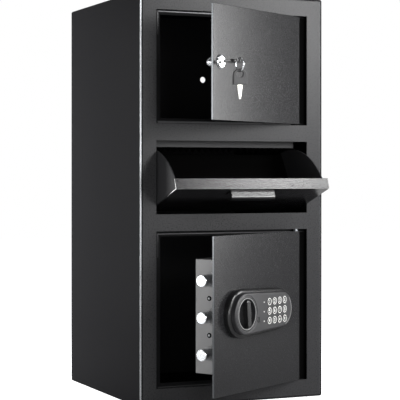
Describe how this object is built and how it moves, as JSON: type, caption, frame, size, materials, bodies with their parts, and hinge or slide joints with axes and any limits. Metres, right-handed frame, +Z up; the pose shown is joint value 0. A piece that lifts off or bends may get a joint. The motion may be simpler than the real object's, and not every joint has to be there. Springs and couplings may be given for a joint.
{
  "type": "drop safe with deposit drawer",
  "caption": "Upright steel drop safe: a tilting deposit drawer between a key-locked upper compartment and a lower compartment with a knob, keypad and sliding bolts.",
  "frame": {"origin": "middle of the cabinet's underside, where it stands on the floor", "axes": "+Z up along the cabinet's height, -Y out of the front with the doors and the drawer, +X to the hinge side as seen from the front"},
  "size_m": [0.35, 0.5293, 0.71],
  "materials": {
    "black_powder_coat": "fine textured black powder coat",
    "inner_paint": "thin black powder coat inside the cabinet",
    "grey_powder_coat": "smooth dark grey paint",
    "zinc_steel": "zinc plated steel",
    "chrome": "bright chrome plate",
    "black_plastic": "satin black moulded plastic",
    "button_plastic": "soft dark rubber keys with printed figures",
    "indicator": "clear indicator lenses"
  },
  "bodies": {
    "cabinet": {"cabinet_wrapper": "black_powder_coat", "back_plate": "black_powder_coat", "front_plate": "black_powder_coat", "upper_shelf": "inner_paint", "drop_ledge": "inner_paint", "drop_baffle": "inner_paint", "drawer_strip": "grey_powder_coat", "upper_door_stop": "grey_powder_coat", "lower_door_stop": "grey_powder_coat", "upper_hinge_brackets": "inner_paint", "lower_hinge_brackets": "inner_paint", "drawer_bracket_left": "inner_paint", "drawer_bracket_right": "inner_paint"},
    "drawer": {"drawer_tray": "black_powder_coat", "drawer_side_left": "black_powder_coat", "drawer_side_right": "black_powder_coat", "drawer_back": "black_powder_coat", "drawer_handle": "black_powder_coat", "drawer_pins": "zinc_steel"},
    "upper_door": {"upper_door_plate": "black_powder_coat", "upper_knuckles": "inner_paint", "upper_hinge_pins": "zinc_steel", "lock_body": "chrome", "lock_nut": "zinc_steel"},
    "plug": {"lock_plug": "chrome", "lock_cam": "zinc_steel", "cam_screw": "zinc_steel", "key_blade": "zinc_steel", "key_head": "black_plastic"},
    "ring": {"key_ring": "chrome"},
    "spare_key": {"spare_blade": "zinc_steel", "spare_head": "black_plastic"},
    "lower_door": {"lower_door_plate": "black_powder_coat", "lower_knuckles": "inner_paint", "lower_hinge_pins": "zinc_steel", "housing_base": "black_plastic", "housing_face": "black_plastic", "override_cover": "black_plastic", "status_lights": "indicator", "bolt_box": "black_powder_coat", "bolt_bushes": "zinc_steel", "battery_cover": "black_plastic"},
    "knob": {"knob": "black_plastic", "knob_spindle": "zinc_steel", "knob_crank": "zinc_steel"},
    "bolts": {"bolt_rods": "chrome", "bolt_carrier": "zinc_steel"},
    "button_1_body": {"button_1": "button_plastic"},
    "button_2_body": {"button_2": "button_plastic"},
    "button_3_body": {"button_3": "button_plastic"},
    "button_4_body": {"button_4": "button_plastic"},
    "button_5_body": {"button_5": "button_plastic"},
    "button_6_body": {"button_6": "button_plastic"},
    "button_7_body": {"button_7": "button_plastic"},
    "button_8_body": {"button_8": "button_plastic"},
    "button_9_body": {"button_9": "button_plastic"},
    "button_0_body": {"button_0": "button_plastic"},
    "button_star_body": {"button_star": "button_plastic"},
    "button_hash_body": {"button_hash": "button_plastic"}
  },
  "joints": [
    {"name": "upper_door_hinge", "type": "hinge", "parent": "cabinet", "child": "upper_door", "pos_m": [0.128, -0.17, 0.5815], "axis": [0, 0, 1], "range_deg": [-30.4, 70]},
    {"name": "lower_door_hinge", "type": "hinge", "parent": "cabinet", "child": "lower_door", "pos_m": [0.128, -0.17, 0.164], "axis": [0, 0, 1], "range_deg": [-30.8, 70]},
    {"name": "drawer_hinge", "type": "hinge", "parent": "cabinet", "child": "drawer", "pos_m": [0, -0.1655, 0.354], "axis": [1, 0, 0], "range_deg": [-71.2, 0]},
    {"name": "plug_turn", "type": "hinge", "parent": "upper_door", "child": "plug", "pos_m": [-0.08171, -0.30463, 0.582], "axis": [0.506, -0.8625, 0], "range_deg": [0, 180]},
    {"name": "ring_swing", "type": "hinge", "parent": "plug", "child": "ring", "pos_m": [-0.06248, -0.3374, 0.582], "axis": [-0.9866, -0.1633, 0], "range_deg": [-3, 183]},
    {"name": "spare_key_swing", "type": "hinge", "parent": "ring", "child": "spare_key", "pos_m": [-0.06248, -0.3374, 0.5644], "axis": [-0.0802, -0.9968, 0], "range_deg": [-25, 25]},
    {"name": "knob_turn", "type": "hinge", "parent": "lower_door", "child": "knob", "pos_m": [-0.04082, -0.28228, 0.1648], "axis": [0.512, -0.859, 0], "range_deg": [0, 90]},
    {"name": "bolt_slide", "type": "slide", "parent": "lower_door", "child": "bolts", "axis": [-0.859, -0.512, 0], "range_m": [0, 0.016]},
    {"name": "press_1", "type": "slide", "parent": "lower_door", "child": "button_1_body", "axis": [-0.512, 0.859, 0], "range_m": [0, 0.001], "stiffness_N_per_m": 300, "springref_m": -0.0005},
    {"name": "press_2", "type": "slide", "parent": "lower_door", "child": "button_2_body", "axis": [-0.512, 0.859, 0], "range_m": [0, 0.001], "stiffness_N_per_m": 300, "springref_m": -0.0005},
    {"name": "press_3", "type": "slide", "parent": "lower_door", "child": "button_3_body", "axis": [-0.512, 0.859, 0], "range_m": [0, 0.001], "stiffness_N_per_m": 300, "springref_m": -0.0005},
    {"name": "press_4", "type": "slide", "parent": "lower_door", "child": "button_4_body", "axis": [-0.512, 0.859, 0], "range_m": [0, 0.001], "stiffness_N_per_m": 300, "springref_m": -0.0005},
    {"name": "press_5", "type": "slide", "parent": "lower_door", "child": "button_5_body", "axis": [-0.512, 0.859, 0], "range_m": [0, 0.001], "stiffness_N_per_m": 300, "springref_m": -0.0005},
    {"name": "press_6", "type": "slide", "parent": "lower_door", "child": "button_6_body", "axis": [-0.512, 0.859, 0], "range_m": [0, 0.001], "stiffness_N_per_m": 300, "springref_m": -0.0005},
    {"name": "press_7", "type": "slide", "parent": "lower_door", "child": "button_7_body", "axis": [-0.512, 0.859, 0], "range_m": [0, 0.001], "stiffness_N_per_m": 300, "springref_m": -0.0005},
    {"name": "press_8", "type": "slide", "parent": "lower_door", "child": "button_8_body", "axis": [-0.512, 0.859, 0], "range_m": [0, 0.001], "stiffness_N_per_m": 300, "springref_m": -0.0005},
    {"name": "press_9", "type": "slide", "parent": "lower_door", "child": "button_9_body", "axis": [-0.512, 0.859, 0], "range_m": [0, 0.001], "stiffness_N_per_m": 300, "springref_m": -0.0005},
    {"name": "press_0", "type": "slide", "parent": "lower_door", "child": "button_0_body", "axis": [-0.512, 0.859, 0], "range_m": [0, 0.001], "stiffness_N_per_m": 300, "springref_m": -0.0005},
    {"name": "press_star", "type": "slide", "parent": "lower_door", "child": "button_star_body", "axis": [-0.512, 0.859, 0], "range_m": [0, 0.001], "stiffness_N_per_m": 300, "springref_m": -0.0005},
    {"name": "press_hash", "type": "slide", "parent": "lower_door", "child": "button_hash_body", "axis": [-0.512, 0.859, 0], "range_m": [0, 0.001], "stiffness_N_per_m": 300, "springref_m": -0.0005}
  ],
  "couplings": [
    {"joint": "knob_turn", "follows": "bolt_slide", "rad_per_m": 98.17}
  ]
}
